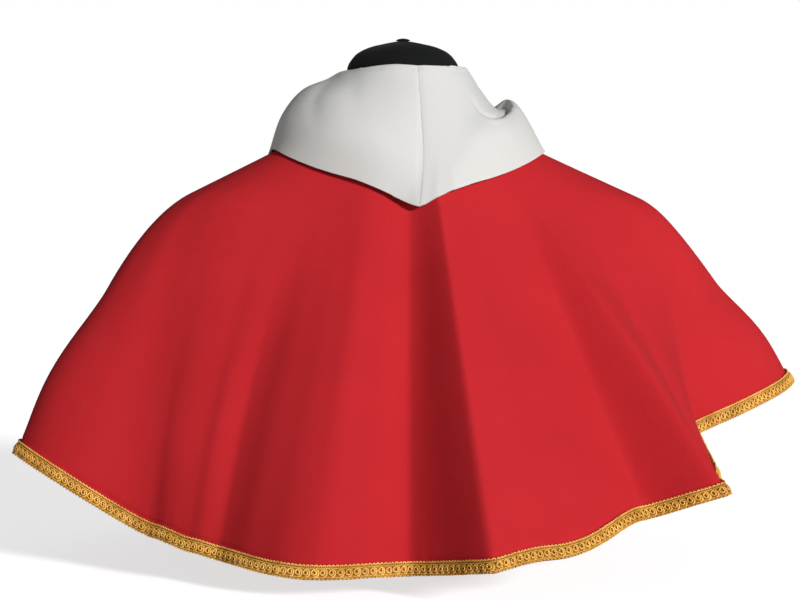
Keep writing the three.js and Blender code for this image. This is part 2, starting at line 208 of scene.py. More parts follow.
# %% [markdown]
# ## From lines to a sheet
# A sheet starts as a flat grid with one column for each line of cloth. Its vertices are then moved
# to the fall worked out above, and its UV map keeps the flat cut in metres, so the weave runs
# straight across the pattern piece as it does on cloth off the roll. Solidify gives the sheet its
# thickness, more of it where a hem or seam allowance is turned in.

# %% Sheets of cloth
def as_object(name, bm):
    """A new object with the mesh of bm, which is freed."""
    mesh = bpy.data.meshes.new(name)
    bm.to_mesh(mesh)
    bm.free()
    obj = bpy.data.objects.new(name, mesh)
    bpy.context.collection.objects.link(obj)
    return obj


def sheet(name, points, flat, thick):
    """points[i, j] is column i's point j from the top, flat[i, j] its place in the cut and
    thick[i, j] the share of the full cloth there."""
    columns, rows = points.shape[:2]
    bm = bmesh.new()
    bmesh.ops.create_grid(bm, x_segments=columns - 1, y_segments=rows - 1, size=1)
    uv = bm.loops.layers.uv.new("cut")
    deform = bm.verts.layers.deform.new()
    place = {}
    for v in bm.verts:
        i = round((v.co.x + 1) / 2 * (columns - 1))
        j = round((1 - v.co.y) / 2 * (rows - 1))
        place[v] = (i, j)
        v.co = points[i, j]
        v[deform][0] = float(thick[i, j])
    for face in bm.faces:
        face.smooth = True
        for loop in face.loops:
            loop[uv].uv = flat[place[loop.vert]]
    obj = as_object(name, bm)
    obj.vertex_groups.new(name="thick")
    wall = obj.modifiers.new("wall", "SOLIDIFY")
    wall.thickness, wall.offset = CLOTH, -1
    wall.use_even_offset = name.startswith("cloth")
    wall.vertex_group = "thick"
    wall.thickness_vertex_group = 0.0
    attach(obj, "root")
    area = sum(f.area for f in obj.data.polygons)
    print(f"{name}: {columns} by {rows} points, {area:.4f} m2 of cloth")
    return obj, area


def seam_push(points):
    """Sets a piece's first and last lines back from the seam by half its gap."""
    for edge, next_line in ((0, 1), (-1, -2)):
        across = points[next_line] - points[edge]
        points[edge] += across / np.linalg.norm(across, axis=1)[:, None] * SEAM_GAP / 2
    return points


# %% Fold lines and spacing
def fine_angles(start, end, step):
    """Evenly spread angles that also meet every fold line."""
    stops = [start, *(a for a in FOLDS[:, 0] if start < a < end), end]
    spans = [np.linspace(a, b, max(2, round((b - a) / step) + 1))[:-1] for a, b in zip(stops, stops[1:])]
    return np.concatenate([*spans, [end]])


# %% The cut of the cape, as a flat ring sector
CUT = {"turn": 4.06, "neck": 0.0985, "length": 0.480}


def cape_cut(angles, points):
    turn = np.radians(angles) * CUT["turn"] / (2 * math.pi)
    radius = CUT["neck"] + fall_of(points)
    return np.stack([radius * np.sin(turn)[:, None], -radius * np.cos(turn)[:, None]], axis=-1)


# %% The cape's three pieces
HEM_TURN, SEAM_TURN = 0.020, 0.012
SINGLE_CAPE = 0.62  # share of the full cloth where nothing is turned in
PIECES = {
    "back": (-SHOULDER_SEAM, SHOULDER_SEAM),
    "front_right": (SHOULDER_SEAM, 180.0),
    "front_left": (-180.0, -SHOULDER_SEAM),
}
cape = {}
for name, (start, end) in PIECES.items():
    angles = fine_angles(start, end, 0.55)
    points = seam_push(uneven(angles, cape_lines(angles)))
    fall = fall_of(points)
    to_seam = np.radians(np.minimum(angles - start, end - angles))[:, None]
    across = to_seam * np.hypot(points[..., 0], points[..., 1])
    turned_in = (fall[:, -1:] - fall < HEM_TURN) | (across < SEAM_TURN)
    thick = np.where(turned_in, 1.0, SINGLE_CAPE)
    obj, _ = sheet("cloth_" + name, points, cape_cut(angles, points), thick)
    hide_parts("cape_" + name)
    cape[name] = obj

# %% [markdown]
# ## The hood collar
# The collar is cut as two halves, joined at the centre back. Its cloth stands up from the neck seam,
# turns over at the roll line and falls to the cape. Each table row is one place round the neck: the
# height of the roll, three points down the fall, and how far down the cape the edge lies. The right
# side has slumped, so its third point stands higher than its second and makes the lip of a hollow.

# %% The hood's tables
STAND = {"out": 0.061, "roll": 0.0645, "turn": 0.005}
HOOD_EDGE_RISE, TIP_RISE = 0.0045, 0.0047
HOOD_TURN, HOOD_TWIST = 3.1, -7.6
BRIDGE = (-7, 0, 7)
# angle, roll, out1, up1, out2, up2, out3, up3, reach
HOOD_RIGHT = np.array([
    (0, 0.489, 0.072, 0.473, 0.084, 0.443, 0.099, 0.400, 0.1035),
    (15, 0.489, 0.072, 0.473, 0.085, 0.444, 0.102, 0.405, 0.090),
    (30, 0.489, 0.072, 0.473, 0.086, 0.446, 0.105, 0.417, 0.082),
    (60, 0.488, 0.076, 0.467, 0.093, 0.446, 0.113, 0.434, 0.080),
    (96, 0.482, 0.079, 0.465, 0.096, 0.448, 0.110, 0.458, 0.082),
    (122, 0.468, 0.081, 0.459, 0.098, 0.448, 0.113, 0.430, 0.086),
    (150, 0.436, 0.076, 0.429, 0.092, 0.415, 0.108, 0.393, 0.096),
    (180, 0.420, 0.074, 0.414, 0.087, 0.401, 0.104, 0.377, 0.104),
])
HOOD_LEFT = np.array([
    (0, 0.489, 0.072, 0.473, 0.084, 0.443, 0.099, 0.400, 0.1035),
    (15, 0.489, 0.072, 0.474, 0.087, 0.446, 0.103, 0.405, 0.087),
    (30, 0.489, 0.073, 0.475, 0.090, 0.450, 0.107, 0.418, 0.078),
    (60, 0.487, 0.078, 0.475, 0.100, 0.459, 0.119, 0.430, 0.076),
    (88, 0.483, 0.079, 0.476, 0.102, 0.466, 0.122, 0.442, 0.072),
    (115, 0.472, 0.080, 0.463, 0.098, 0.449, 0.113, 0.425, 0.084),
    (150, 0.436, 0.076, 0.429, 0.092, 0.415, 0.108, 0.393, 0.096),
    (180, 0.420, 0.074, 0.414, 0.087, 0.401, 0.104, 0.377, 0.104),
])


# %% The lines of the hood's cloth
def smooth_rows(table, at):
    """Every column of a table at each angle, on one smooth curve through its rows."""
    row = np.clip(np.searchsorted(table[:, 0], at, side="left"), 1, len(table) - 1)
    slopes = np.array([(table[min(j + 1, len(table) - 1)] - table[max(j - 1, 0)])
                       / (table[min(j + 1, len(table) - 1), 0] - table[max(j - 1, 0), 0])
                       for j in range(len(table))])
    a, b = table[row - 1], table[row]
    span = b[:, :1] - a[:, :1]
    t = (at[:, None] - a[:, :1]) / span
    return (a * (1 + 2 * t) * (1 - t) ** 2 + slopes[row - 1] * span * t * (1 - t) ** 2
            + b * t * t * (3 - 2 * t) - slopes[row] * span * t * t * (1 - t))


def through(keys, steps):
    """A centripetal spline through keys[k], sampled at steps of its segments."""
    ends = [2 * keys[0] - keys[1], *keys, 2 * keys[-1] - keys[-2]]
    rows = []
    for step in steps:
        i = min(int(step), len(keys) - 2)
        t = step - i
        p0, p1, p2, p3 = ends[i:i + 4]
        d0, d1, d2 = (np.sqrt(np.linalg.norm(q - p, axis=1))[:, None]
                      for p, q in ((p0, p1), (p1, p2), (p2, p3)))
        m1 = ((p1 - p0) / d0 - (p2 - p0) / (d0 + d1) + (p2 - p1) / d1) * d1
        m2 = ((p2 - p1) / d1 - (p3 - p1) / (d1 + d2) + (p3 - p2) / d2) * d1
        rows.append(p1 * (1 + 2 * t) * (1 - t) ** 2 + m1 * t * (1 - t) ** 2
                    + p2 * t * t * (3 - 2 * t) - m2 * t * t * (1 - t))
    return np.stack(rows, axis=1)


def outward(points_at, angles, row):
    """The cloth's outer side at one row of its lines."""
    tiny = 0.05
    here, after, before = points_at(angles), points_at(angles + tiny), points_at(angles - tiny)
    down = here[:, row + 1] - here[:, row - 1]
    normal = np.cross(down, after[:, row] - before[:, row])
    return normal / np.linalg.norm(normal, axis=1)[:, None]


def along(points, distance):
    """The point a distance down each line."""
    fall = fall_of(points)
    return np.array([[np.interp(d, f, line[:, k]) for k in range(3)]
                     for line, f, d in zip(points, fall, distance)])


HOOD_ROWS = np.concatenate([np.linspace(0, 1, 7)[:-1], np.linspace(1, 2, 9)[:-1], np.linspace(2, 6, 77)])
MIDDLE_ROW = len(SLOPE_ROWS) + 6


def hood_lines(table, side, angles):
    row = smooth_rows(table, side * angles)

    def place(share):
        return angles + (HOOD_TURN + share * HOOD_TWIST) * np.cos(np.radians(angles / 2)) ** 2

    rise = HOOD_EDGE_RISE + TIP_RISE * np.cos(np.radians(angles / 2))[:, None] ** 16
    rests = sum(along(cape_lines(place(1) + b), row[:, 8])
                + outward(cape_lines, place(1) + b, MIDDLE_ROW) * rise for b in BRIDGE) / len(BRIDGE)
    keys = [
        around(place(0), STAND["out"], neck_points(place(0))[:, 2] + SEAM_GAP),
        around(place(0), STAND["out"], row[:, 1] - STAND["turn"]),
        around(place(0), STAND["roll"], row[:, 1]),
        around(place(0.06), row[:, 2], row[:, 3]),
        around(place(0.13), row[:, 4], row[:, 5]),
        around(place(0.22), row[:, 6], row[:, 7]),
        rests,
    ]
    return through(keys, HOOD_ROWS)


# %% [markdown]
# ### Creases in the hood
# Each crease is pressed in. A line of places on the cloth, with a depth and a width at each,
# pushes the points near it inward, and a negative depth raises them. The long one on the right is
# the fold of the slumped side, which deepens into the hollow under the lip.

# %% Creases, as angle, place down the profile, depth and width
CREASES = {
    "right": [
        [(41, 3.40, 0.0004, 0.006), (43, 3.65, 0.0012, 0.005), (44.5, 3.98, 0.0021, 0.0045),
         (46, 4.28, 0.0028, 0.004), (50, 4.44, 0.0030, 0.004), (57, 4.45, 0.0030, 0.004),
         (64, 4.42, 0.0038, 0.004), (71, 4.45, 0.0052, 0.0045), (80, 4.50, 0.0056, 0.005),
         (92, 4.50, 0.0046, 0.006)],
        [(41, 3.75, -0.0003, 0.005), (43.5, 4.20, -0.0010, 0.004), (47, 4.62, -0.0016, 0.004),
         (56, 4.70, -0.0014, 0.004), (66, 4.70, -0.0014, 0.004), (76, 4.78, -0.0016, 0.004)],
        [(20, 2, 0.0004, 0.012), (45, 2, 0.0018, 0.014), (75, 2, 0.0010, 0.014)],
        [(0, 2.34, 0.0007, 0.0024), (35, 2.36, 0.0007, 0.0024), (62, 2.4, 0.0005, 0.0024)],
        [(0, 1.6, 0.0008, 0.003), (0, 4, 0.0008, 0.003), (0, 6, 0.0008, 0.003)],
        [(16, 5.1, 0.0005, 0.008), (30, 4.6, 0.0008, 0.010), (38, 4.1, 0.0004, 0.010)],
    ],
    "left": [
        [(-76, 2.8, 0.0005, 0.009), (-70, 3.6, 0.0010, 0.009), (-66, 4.3, 0.0012, 0.009),
         (-58, 4.9, 0.0005, 0.010)],
        [(-52, 2.9, 0.0004, 0.009), (-46, 3.6, 0.0010, 0.010), (-38, 4.5, 0.0004, 0.010)],
        [(-20, 2, -0.0008, 0.012), (-38, 2, 0.0004, 0.012), (-58, 2, 0.0016, 0.013),
         (-85, 2, 0.0006, 0.013)],
        [(0, 2.34, 0.0007, 0.0024), (-35, 2.36, 0.0007, 0.0024), (-70, 2.4, 0.0005, 0.0024)],
        [(0, 1.6, 0.0008, 0.003), (0, 4, 0.0008, 0.003), (0, 6, 0.0008, 0.003)],
    ],
}


def press(points, angles, line):
    """Pushes in the cloth along one crease."""
    columns = np.interp([row[0] for row in line], angles, np.arange(len(angles)))
    steps = np.interp([row[1] for row in line], HOOD_ROWS, np.arange(len(HOOD_ROWS)))
    keys = np.array([points[round(i), round(j)] for i, j in zip(columns, steps)])
    share, fine = np.arange(len(line)), np.linspace(0, len(line) - 1, 12 * len(line))
    path = np.stack([np.interp(fine, share, keys[:, k]) for k in range(3)], axis=1)
    deep, wide = (np.interp(fine, share, [row[k] for row in line]) for k in (2, 3))
    distance = np.linalg.norm(points[:, :, None] - path, axis=3)
    near = distance.argmin(axis=2)
    rise = -deep[near] * np.exp(-(distance.min(axis=2) / wide[near]) ** 2)
    return points + normals_of(points) * rise[..., None]


# %% The two halves of the hood
EDGE_TURN, RIM_ROUND = 0.012, 0.0005
SINGLE_HOOD = 0.7  # share of the full cloth where nothing is turned in
ROUND_NECK = 0.1  # metres of cloth for each radian round the neck
seam_line = []
for name, table, side in (("right", HOOD_RIGHT, 1), ("left", HOOD_LEFT, -1)):
    angles = np.linspace(0, 180, 201) if side > 0 else np.linspace(-180, 0, 201)
    points = hood_lines(table, side, angles)
    for line in CREASES[name]:
        points = press(points, angles, line)
    seam_line.append(points[0 if side > 0 else -1])
    points = seam_push(points)
    fall = fall_of(points)
    width = np.radians(np.abs(angles))[:, None] * ROUND_NECK
    flat_places = np.stack([np.broadcast_to(side * width, fall.shape), -fall], axis=-1)
    turned_in = fall[:, -1:] - fall < EDGE_TURN
    thick = np.where(turned_in, 1.0, SINGLE_HOOD)
    obj, area = sheet("hood_cloth_" + name, points, flat_places, thick)
    rim = obj.modifiers.new("rounded rim", "BEVEL")
    rim.limit_method, rim.angle_limit = "ANGLE", math.radians(60)
    rim.width, rim.segments = RIM_ROUND, 3
    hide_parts("hood_" + name)

# %% [markdown]
# ## The braid
# Gimp braid is a woven band with a cord couched on it in a row of scrolls, and small loops along
# both edges. It is made here as it is bought, straight and flat, and then every point is carried to
# the hem: its length along the hem, its height up the cloth and its thickness off it.

# %% The hem that the braid is sewn to
BRAID = {"wide": 0.015, "below": 0.0012, "gap": 0.0003, "band": 0.0011}
BAND = {"share": 0.86, "margin": 0.07, "step": 0.003, "dome": 0.35}


def hem_frame(start, end):
    """Places, upward and outward directions along the hem, by the length along it."""
    angles = fine_angles(start, end, 0.25)
    points = seam_push(uneven(angles, cape_lines(angles)))
    place, up = points[:, -1], points[:, -8] - points[:, -1]
    up = up / np.linalg.norm(up, axis=1)[:, None]
    round_it = np.gradient(place, axis=0)
    out = np.cross(round_it, up)
    out = out / np.linalg.norm(out, axis=1)[:, None]
    run = np.concatenate([[0], np.cumsum(np.linalg.norm(np.diff(place, axis=0), axis=1))])
    return run, place, up, out


def sew_on(mesh, hem):
    """Carries a flat braid's points to the hem."""
    run, place, up, out = hem
    flat = np.empty(len(mesh.vertices) * 3)
    mesh.vertices.foreach_get("co", flat)
    x, y, z = flat.reshape(-1, 3).T

    def at(values):
        return np.stack([np.interp(x, run, values[:, k]) for k in range(3)], axis=1)

    moved = at(place) + at(up) * (y - BRAID["below"])[:, None] + at(out) * (z + BRAID["gap"])[:, None]
    mesh.vertices.foreach_set("co", moved.ravel())
    mesh.update()


# %% Cords of the braid
SCROLL = {"pitch": 0.0076, "outer": 0.0040, "inner": 0.0012, "turns": 1.45, "middle": 0.0065,
          "thick": 0.00092, "steps": 18}
BEAD = {"pitch": 0.0038, "wide": 0.0013, "high": 0.0011, "thick": 0.00078, "at": 0.0127}
LOOP = {"pitch": 0.0038, "wide": 0.0012, "high": 0.0008, "thick": 0.0006, "at": 0.0013}
HEADING = {"thick": 0.00046, "top": 0.0109, "bottom": 0.0024, "wave": 0.00026, "pitch": 0.0019}
END_MARGIN = 0.0006


def cords(name, thick, sides, paths):
    """One curve object that holds many cords of the same thickness, made a mesh."""
    data = bpy.data.curves.new(name, "CURVE")
    data.dimensions = "3D"
    data.bevel_depth, data.bevel_resolution, data.use_fill_caps = thick, sides, True
    for path in paths:
        spline = data.splines.new("POLY")
        spline.points.add(len(path) - 1)
        for point, (x, y, z) in zip(spline.points, path):
            point.co = (x, y, z, 1)
    obj = bpy.data.objects.new(name, data)
    bpy.context.collection.objects.link(obj)
    mesh = bpy.data.meshes.new_from_object(obj.evaluated_get(bpy.context.evaluated_depsgraph_get()))
    bpy.data.objects.remove(obj)
    return mesh


def scroll(x):
    """A cord that curls in from the bottom of the band to its middle."""
    path = []
    for k in range(SCROLL["steps"] + 1):
        t = k / SCROLL["steps"]
        radius = SCROLL["outer"] + (SCROLL["inner"] - SCROLL["outer"]) * t
        turn = -math.pi / 2 + 2 * math.pi * SCROLL["turns"] * t
        rise = BRAID["band"] + SCROLL["thick"] * (0.6 + 0.9 * t)
        path.append((x + radius * math.cos(turn), SCROLL["middle"] + radius * math.sin(turn), rise))
    return path


def small_loop(x, kind, side):
    """A fat little arch of cord, which reads as a bead along the braid's edge."""
    return [(x - kind["wide"] * math.cos(math.pi * t),
             kind["at"] + side * kind["high"] * math.sin(math.pi * t),
             BRAID["band"] * 0.8 + kind["thick"] * (0.7 + 0.7 * math.sin(math.pi * t)))
            for t in (0, 0.25, 0.5, 0.75, 1)]


def straight(length, y, wave, pitch):
    """A fine cord that runs the length of the band in small waves."""
    steps = np.arange(END_MARGIN, length - END_MARGIN, pitch / 4)
    z = BRAID["band"] + HEADING["thick"] * 0.8
    return [(x, y + wave * math.sin(2 * math.pi * x / pitch), z + wave * math.cos(2 * math.pi * x / pitch))
            for x in steps]


# %% The three lengths of braid
def band(length):
    """The woven band behind the cords, a little domed."""
    bm = bmesh.new()
    bmesh.ops.create_grid(bm, x_segments=round(length / BAND["step"]), y_segments=6, size=0.5)
    for v in bm.verts:
        across = v.co.y * 2
        v.co = ((v.co.x + 0.5) * length,
                (v.co.y + 0.5) * BRAID["wide"] * BAND["share"] + BRAID["wide"] * BAND["margin"],
                BRAID["band"] * (1 - BAND["dome"] * across ** 4))
    mesh = bpy.data.meshes.new("band")
    front = bm.faces[:]
    made = bmesh.ops.extrude_face_region(bm, geom=front)
    for v in (g for g in made["geom"] if isinstance(g, bmesh.types.BMVert)):
        v.co.z = 0
    bmesh.ops.recalc_face_normals(bm, faces=bm.faces[:])
    bm.to_mesh(mesh)
    bm.free()
    return mesh


def join(name, meshes):
    """One mesh of many, where the first one's faces take the second material."""
    bm = bmesh.new()
    for mesh in meshes:
        done = len(bm.faces)
        bm.from_mesh(mesh)
        bm.faces.ensure_lookup_table()
        for face in bm.faces[done:]:
            face.smooth = True
            # The band's faces take the darker gold, which is painted shade between the cords.
            face.material_index = int(mesh is meshes[0])
    for mesh in meshes:
        bpy.data.meshes.remove(mesh)
    joined = bpy.data.meshes.new(name)
    bm.to_mesh(joined)
    bm.free()
    return joined


def spread_along(length, pitch):
    count = max(1, round(length / pitch))
    return [(k + 0.5) * length / count for k in range(count)]


braids = {}
for name, (start, end) in PIECES.items():
    hem = hem_frame(start, end)
    length = hem[0][-1]
    scroll_at, bead_at = spread_along(length, SCROLL["pitch"]), spread_along(length, BEAD["pitch"])
    mesh = join("braid_cords_" + name, [
        band(length),
        cords("scrolls", SCROLL["thick"], 0, [scroll(x) for x in scroll_at]),
        cords("beads", BEAD["thick"], 1, [small_loop(x, BEAD, 1) for x in bead_at]),
        cords("loops", LOOP["thick"], 0, [small_loop(x, LOOP, -1) for x in bead_at]),
        cords("headings", HEADING["thick"], 0, [
            straight(length, HEADING["top"], HEADING["wave"], HEADING["pitch"]),
            straight(length, HEADING["bottom"], HEADING["wave"], HEADING["pitch"])]),
    ])
    sew_on(mesh, hem)
    obj = bpy.data.objects.new("braid_cords_" + name, mesh)
    bpy.context.collection.objects.link(obj)
    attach(obj, "root")
    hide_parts("braid_" + name)
    braids[name] = obj
    triangles = sum(len(p.vertices) - 2 for p in mesh.polygons)
    print(f"braid {name}: {length:.3f} m, {len(scroll_at)} scrolls, {len(bead_at)} beads,",
          triangles, "triangles")

# %% [markdown]
# ## The hood's seam
# The two halves of the hood meet at the centre back. Between their edges the seam allowance shows as
# a fine ridge.

# %% The hood's centre-back seam
def welt(name, line, thick, sunk):
    """The pressed seam allowance that shows between two sewn edges, as a fine cord just under them."""
    inward = np.array([0.0, sunk, -sunk * 0.4])
    mesh = cords(name, thick, 2, [[tuple(p + inward) for p in line]])
    for polygon in mesh.polygons:
        polygon.use_smooth = True
    mesh.name = name
    obj = bpy.data.objects.new(name, mesh)
    bpy.context.collection.objects.link(obj)
    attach(obj, "root")
    return obj


hood_seam = welt("hood_seam", (seam_line[0] + seam_line[1])[HOOD_ROWS > 1.8] / 2, 0.0007, 0.0009)

# %% [markdown]
# ## The bust form
# The form is a foam body under a tight jersey cover, with a domed neck end and a small nub. A real
# one is smooth, so its few sections are joined by a spline up the body and finely spaced round it.

# %% The form's sections and its body
# up, half width, half depth, aside, forward, squareness
FORM = np.array([
    (0.0123, 0.114, 0.085, 0, 0, 2),
    (0.020, 0.120, 0.090, 0, 0, 2),
    (0.060, 0.126, 0.093, 0, 0, 2.1),
    (0.130, 0.146, 0.106, 0, 0.004, 2.2),
    (0.195, 0.170, 0.118, 0, 0.008, 2.3),
    (0.260, 0.196, 0.112, 0, 0.006, 2.3),
    (0.305, 0.222, 0.094, 0, 0.002, 2.1),
    (0.332, 0.224, 0.079, 0.002, 0, 2),
    (0.350, 0.211, 0.069, 0.004, 0, 1.9),
    (0.368, 0.189, 0.061, 0.005, 0, 1.8),
    (0.386, 0.1663, 0.056, 0.0046, 0, 1.6),
    (0.398, 0.1416, 0.0545, 0.0042, 0, 1.3),
    (0.410, 0.099, 0.0545, 0.002, 0, 1.2),
    (0.420, 0.066, 0.055, 0, 0, 1.7),
    (0.431, 0.057, 0.055, 0, 0, 2),
    (0.450, 0.0555, 0.055, 0, 0, 2),
    (0.488, 0.0555, 0.055, 0, 0, 2),
    (0.497, 0.0508, 0.050, 0, 0, 2),
    (0.503, 0.0448, 0.044, 0, 0, 2),
    (0.5085, 0.0335, 0.033, 0, 0, 2),
    (0.512, 0.0195, 0.0195, 0, 0, 2),
    (0.5142, 0.0085, 0.0085, 0, 0, 2),
])
FORM_SIDES = 120


def form_body():
    keys = [row[None, :] for row in FORM]
    rows = through(keys, np.linspace(0, len(FORM) - 1, (len(FORM) - 1) * 4 + 1))[0]
    rings = []
    bm = bmesh.new()
    uv = bm.loops.layers.uv.new("cut")
    for up, wide, deep, aside, forward, square in rows:
        ring = bmesh.ops.create_circle(bm, segments=FORM_SIDES, radius=1)["verts"]
        for v in ring:
            size = (abs(v.co.x) ** square + abs(v.co.y) ** square) ** (-1 / square)
            v.co = (aside + wide * size * v.co.x, forward + deep * size * v.co.y, up)
        rings.append(ring)
    for below, above in zip(rings, rings[1:]):
        edges = [e for ring in (below, above) for v in ring for e in v.link_edges
                 if e.other_vert(v) in ring]
        bmesh.ops.bridge_loops(bm, edges=list(set(edges)))
    for ring in (rings[0], rings[-1]):
        middle = sum((v.co for v in ring), Vector()) / len(ring)
        bmesh.ops.contextual_create(bm, geom=ring)
        made = bmesh.ops.poke(bm, faces=[f for f in bm.faces if len(f.verts) == FORM_SIDES])
        made["verts"][0].co = middle + Vector((0, 0, 0.0004 if ring is rings[-1] else 0))
    bmesh.ops.recalc_face_normals(bm, faces=bm.faces[:])
    for face in bm.faces:
        face.smooth = True
        for loop in face.loops:
            co = loop.vert.co
            loop[uv].uv = (math.atan2(co.x, -co.y) * 0.1, co.z)
    return as_object("form_cover", bm)


torso = form_body()
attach(torso, "root")
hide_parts("form_torso")
print("form:", len(torso.data.polygons), "faces")


# %% The nub and the base
def turned(name, radius, high, round_rim, squash):
    """A disc on the form's axis that stands at height 0, with its rims rounded by a bevel."""
    bm = bmesh.new()
    bmesh.ops.create_cone(bm, cap_ends=True, segments=96, radius1=radius, radius2=radius, depth=high)
    rims = [e for e in bm.edges if abs(e.verts[0].co.z - e.verts[1].co.z) < 1e-6]
    bmesh.ops.bevel(bm, geom=rims, offset=round_rim, segments=5, profile=0.5, affect="EDGES", material=-1)
    for v in bm.verts:
        v.co = (v.co.x, v.co.y * squash, v.co.z + high / 2)
    for face in bm.faces:
        face.smooth = abs(face.normal.z) < 0.999
    obj = as_object(name, bm)
    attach(obj, "root")
    return obj


def gathered_nub(name, radius, high, floor, gathers=11):
    """The knot where the cover is gathered: a low bump with small pleats that run to its top."""
    bm = bmesh.new()
    bmesh.ops.create_uvsphere(bm, u_segments=88, v_segments=20, radius=1)
    for v in bm.verts:
        turn, out = math.atan2(v.co.y, v.co.x), math.hypot(v.co.x, v.co.y)
        rise = 0.5 + 0.5 * v.co.z
        pleat = 1 - 0.07 * (0.5 + 0.5 * math.cos(gathers * turn)) * (1 - abs(v.co.z))
        wide = radius * pleat * (1 - 0.45 * rise) * out
        v.co = (wide * math.cos(turn), wide * math.sin(turn), floor + high * rise)
    for face in bm.faces:
        face.smooth = True
    obj = as_object(name, bm)
    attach(obj, "root")
    return obj


nub = gathered_nub("nub_cap", 0.0088, 0.0033, 0.5142)
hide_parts("form_nub")
base = turned("base_plate", 0.122, 0.012, 0.002, 0.76)
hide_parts("form_base")

# %% [markdown]
# ## Materials
# The cloths share one node group for their weave: fine diagonal ribs that follow the UV map, with
# a few slubs and a soft unevenness of dye. The group gives a height and a shade, and each material
# uses them at its own scale.

# %% The weave group
def weave_group():
    group = bpy.data.node_groups.new("twill weave", "ShaderNodeTree")
    face = group.interface
    face.new_socket("Rib Scale", in_out="INPUT", socket_type="NodeSocketFloat").default_value = 700
    face.new_socket("Dye Scale", in_out="INPUT", socket_type="NodeSocketFloat").default_value = 9
    face.new_socket("Height", in_out="OUTPUT", socket_type="NodeSocketFloat")
    face.new_socket("Dye", in_out="OUTPUT", socket_type="NodeSocketFloat")
    nodes, links = group.nodes, group.links
    given, result = nodes.new("NodeGroupInput"), nodes.new("NodeGroupOutput")
    uv = nodes.new("ShaderNodeUVMap")
    place = nodes.new("ShaderNodeTexCoord")
    rib = nodes.new("ShaderNodeTexWave")
    rib.bands_direction = "DIAGONAL"
    links.new(uv.outputs["UV"], rib.inputs["Vector"])
    links.new(given.outputs["Rib Scale"], rib.inputs["Scale"])
    slub = nodes.new("ShaderNodeTexNoise")
    slub.inputs["Detail"].default_value = 3
    slub.inputs["Scale"].default_value = 900
    links.new(uv.outputs["UV"], slub.inputs["Vector"])
    height = nodes.new("ShaderNodeMath")
    height.operation = "MULTIPLY_ADD"
    height.inputs[1].default_value = 0.6
    links.new(rib.outputs["Fac"], height.inputs[0])
    links.new(slub.outputs["Fac"], height.inputs[2])
    links.new(height.outputs[0], result.inputs["Height"])
    dye = nodes.new("ShaderNodeTexNoise")
    dye.inputs["Detail"].default_value = 5
    dye.inputs["Roughness"].default_value = 0.6
    links.new(place.outputs["Object"], dye.inputs["Vector"])
    links.new(given.outputs["Dye Scale"], dye.inputs["Scale"])
    fibre = nodes.new("ShaderNodeTexNoise")
    fibre.inputs["Scale"].default_value = 420
    fibre.inputs["Detail"].default_value = 2
    links.new(uv.outputs["UV"], fibre.inputs["Vector"])
    blend = nodes.new("ShaderNodeMix")
    blend.inputs["Factor"].default_value = 0.45
    links.new(dye.outputs["Fac"], blend.inputs["A"])
    links.new(fibre.outputs["Fac"], blend.inputs["B"])
    links.new(blend.outputs["Result"], result.inputs["Dye"])
    return group


weave = weave_group()


# %% What every material starts from
def new_material(name):
    material = bpy.data.materials.new(name)
    material.use_nodes = True
    nodes = material.node_tree.nodes
    return material, nodes, material.node_tree.links, nodes["Principled BSDF"]


def raise_by(nodes, links, height, strength, distance):
    """Raises the surface by a height, as a bump in its normals."""
    relief = nodes.new("ShaderNodeBump")
    relief.inputs["Strength"].default_value = strength
    relief.inputs["Distance"].default_value = distance
    links.new(height, relief.inputs["Height"])
    links.new(relief.outputs["Normal"], nodes["Principled BSDF"].inputs["Normal"])


def dress(obj, material):
    obj.data.materials.clear()
    obj.data.materials.append(material)


# %% A cloth material
def cloth(name, dark, light, rough, rib_scale, bump, sheen, dye_scale=9):
    material, nodes, links, shader = new_material(name)
    shader.inputs["Roughness"].default_value = rough
    shader.inputs["Specular IOR Level"].default_value = 0.12
    shader.inputs["Sheen Weight"].default_value = sheen
    shader.inputs["Sheen Roughness"].default_value = 0.45
    cloth_weave = nodes.new("ShaderNodeGroup")
    cloth_weave.node_tree = weave
    cloth_weave.inputs["Rib Scale"].default_value = rib_scale
    cloth_weave.inputs["Dye Scale"].default_value = dye_scale
    mix = nodes.new("ShaderNodeMix")
    mix.data_type = "RGBA"
    mix.inputs["A"].default_value = (*dark, 1)
    mix.inputs["B"].default_value = (*light, 1)
    shade = nodes.new("ShaderNodeMath")
    shade.operation = "MULTIPLY_ADD"
    shade.inputs[1].default_value = 0.18
    links.new(cloth_weave.outputs["Height"], shade.inputs[0])
    links.new(cloth_weave.outputs["Dye"], shade.inputs[2])
    links.new(shade.outputs[0], mix.inputs["Factor"])
    links.new(mix.outputs["Result"], shader.inputs["Base Color"])
    raise_by(nodes, links, cloth_weave.outputs["Height"], bump, 0.0002)
    return material


red = cloth("red twill", (0.37, 0.010, 0.014), (0.57, 0.022, 0.0285), 0.9, 640, 0.35, 0.0)
white = cloth("white twill", (0.55, 0.545, 0.525), (0.66, 0.653, 0.63), 0.88, 820, 0.3, 0.0)
jersey = cloth("black jersey", (0.004, 0.0045, 0.0045), (0.009, 0.0095, 0.0095), 0.85, 520, 0.4, 0.03, 14)
for obj in cape.values():
    dress(obj, red)
for side in ("left", "right"):
    dress(bpy.data.objects["hood_cloth_" + side], white)
dress(hood_seam, white)
dress(torso, jersey)
